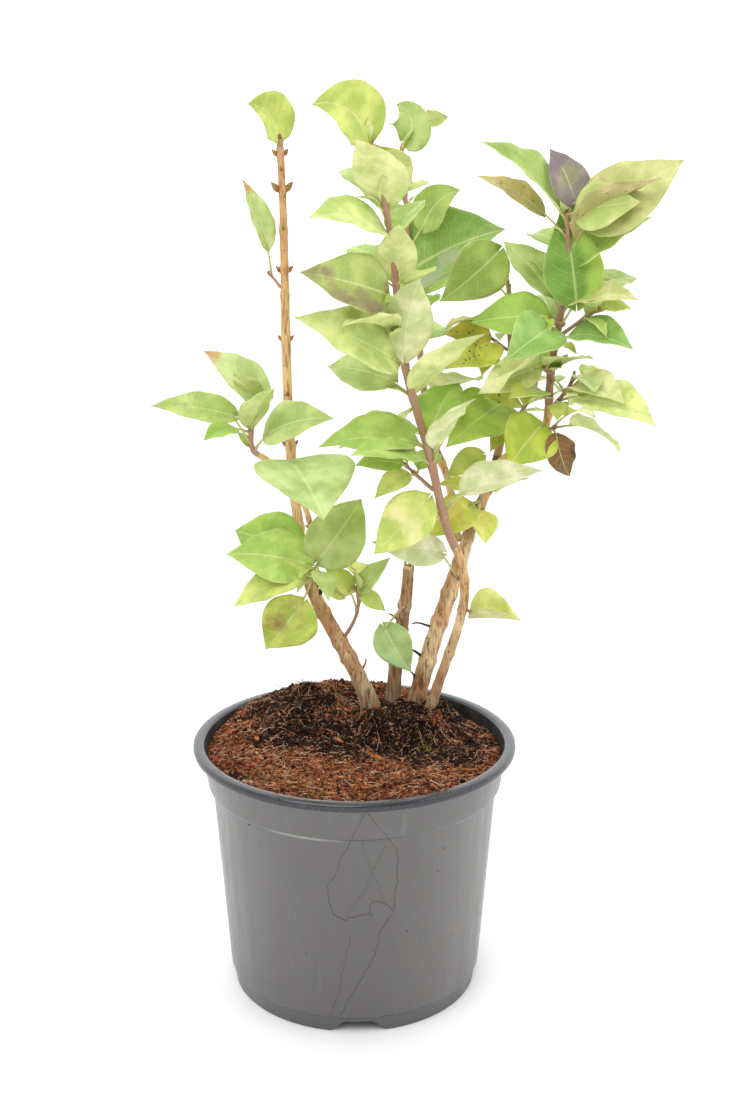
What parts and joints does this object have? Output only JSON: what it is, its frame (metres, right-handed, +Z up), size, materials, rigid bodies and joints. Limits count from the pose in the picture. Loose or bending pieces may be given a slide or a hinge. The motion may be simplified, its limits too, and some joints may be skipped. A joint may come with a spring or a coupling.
{
  "type": "potted lilac bush",
  "caption": "Young lilac in a round plastic nursery pot, with slender bare stems and open shoots of heart-shaped leaves.",
  "frame": {"origin": "middle of the whole plant's bounding box, on the ground under the pot", "axes": "+Z up along the plant's height, +X to the right and -Y towards the front"},
  "size_m": [0.2922, 0.2124, 0.5164],
  "materials": {
    "pot_plastic": "satin, with a glossy lip",
    "compost": "loose, damp peat and coir",
    "bark": "rough bark",
    "foliage": "smooth soft leaves"
  },
  "bodies": {
    "root": {"back_bough": "bark", "back_leaves": "foliage", "back_top_leaves": "foliage", "cane_side_leaf": "foliage", "cane_tip_leaf": "foliage", "cream_leaf": "foliage", "fork_leaves": "foliage", "front_lower_leaves": "foliage", "front_middle_leaves": "foliage", "front_stem": "bark", "front_top_leaves": "foliage", "heart_leaf": "foliage", "left_bough": "bark", "left_cane": "bark", "left_lower_leaves": "foliage", "left_shoot_leaves": "foliage", "left_stem": "bark", "low_twig_leaves": "foliage", "pot": "pot_plastic", "right_bough": "bark", "right_foot_leaves": "foliage", "right_low_leaves": "foliage", "right_middle_leaves": "foliage", "right_shoot_bough": "bark", "right_shoot_leaves": "foliage", "right_stem": "bark", "root_ball": "compost", "stump": "bark", "stump_leaf": "foliage", "yellow_leaf": "foliage"}
  },
  "joints": []
}
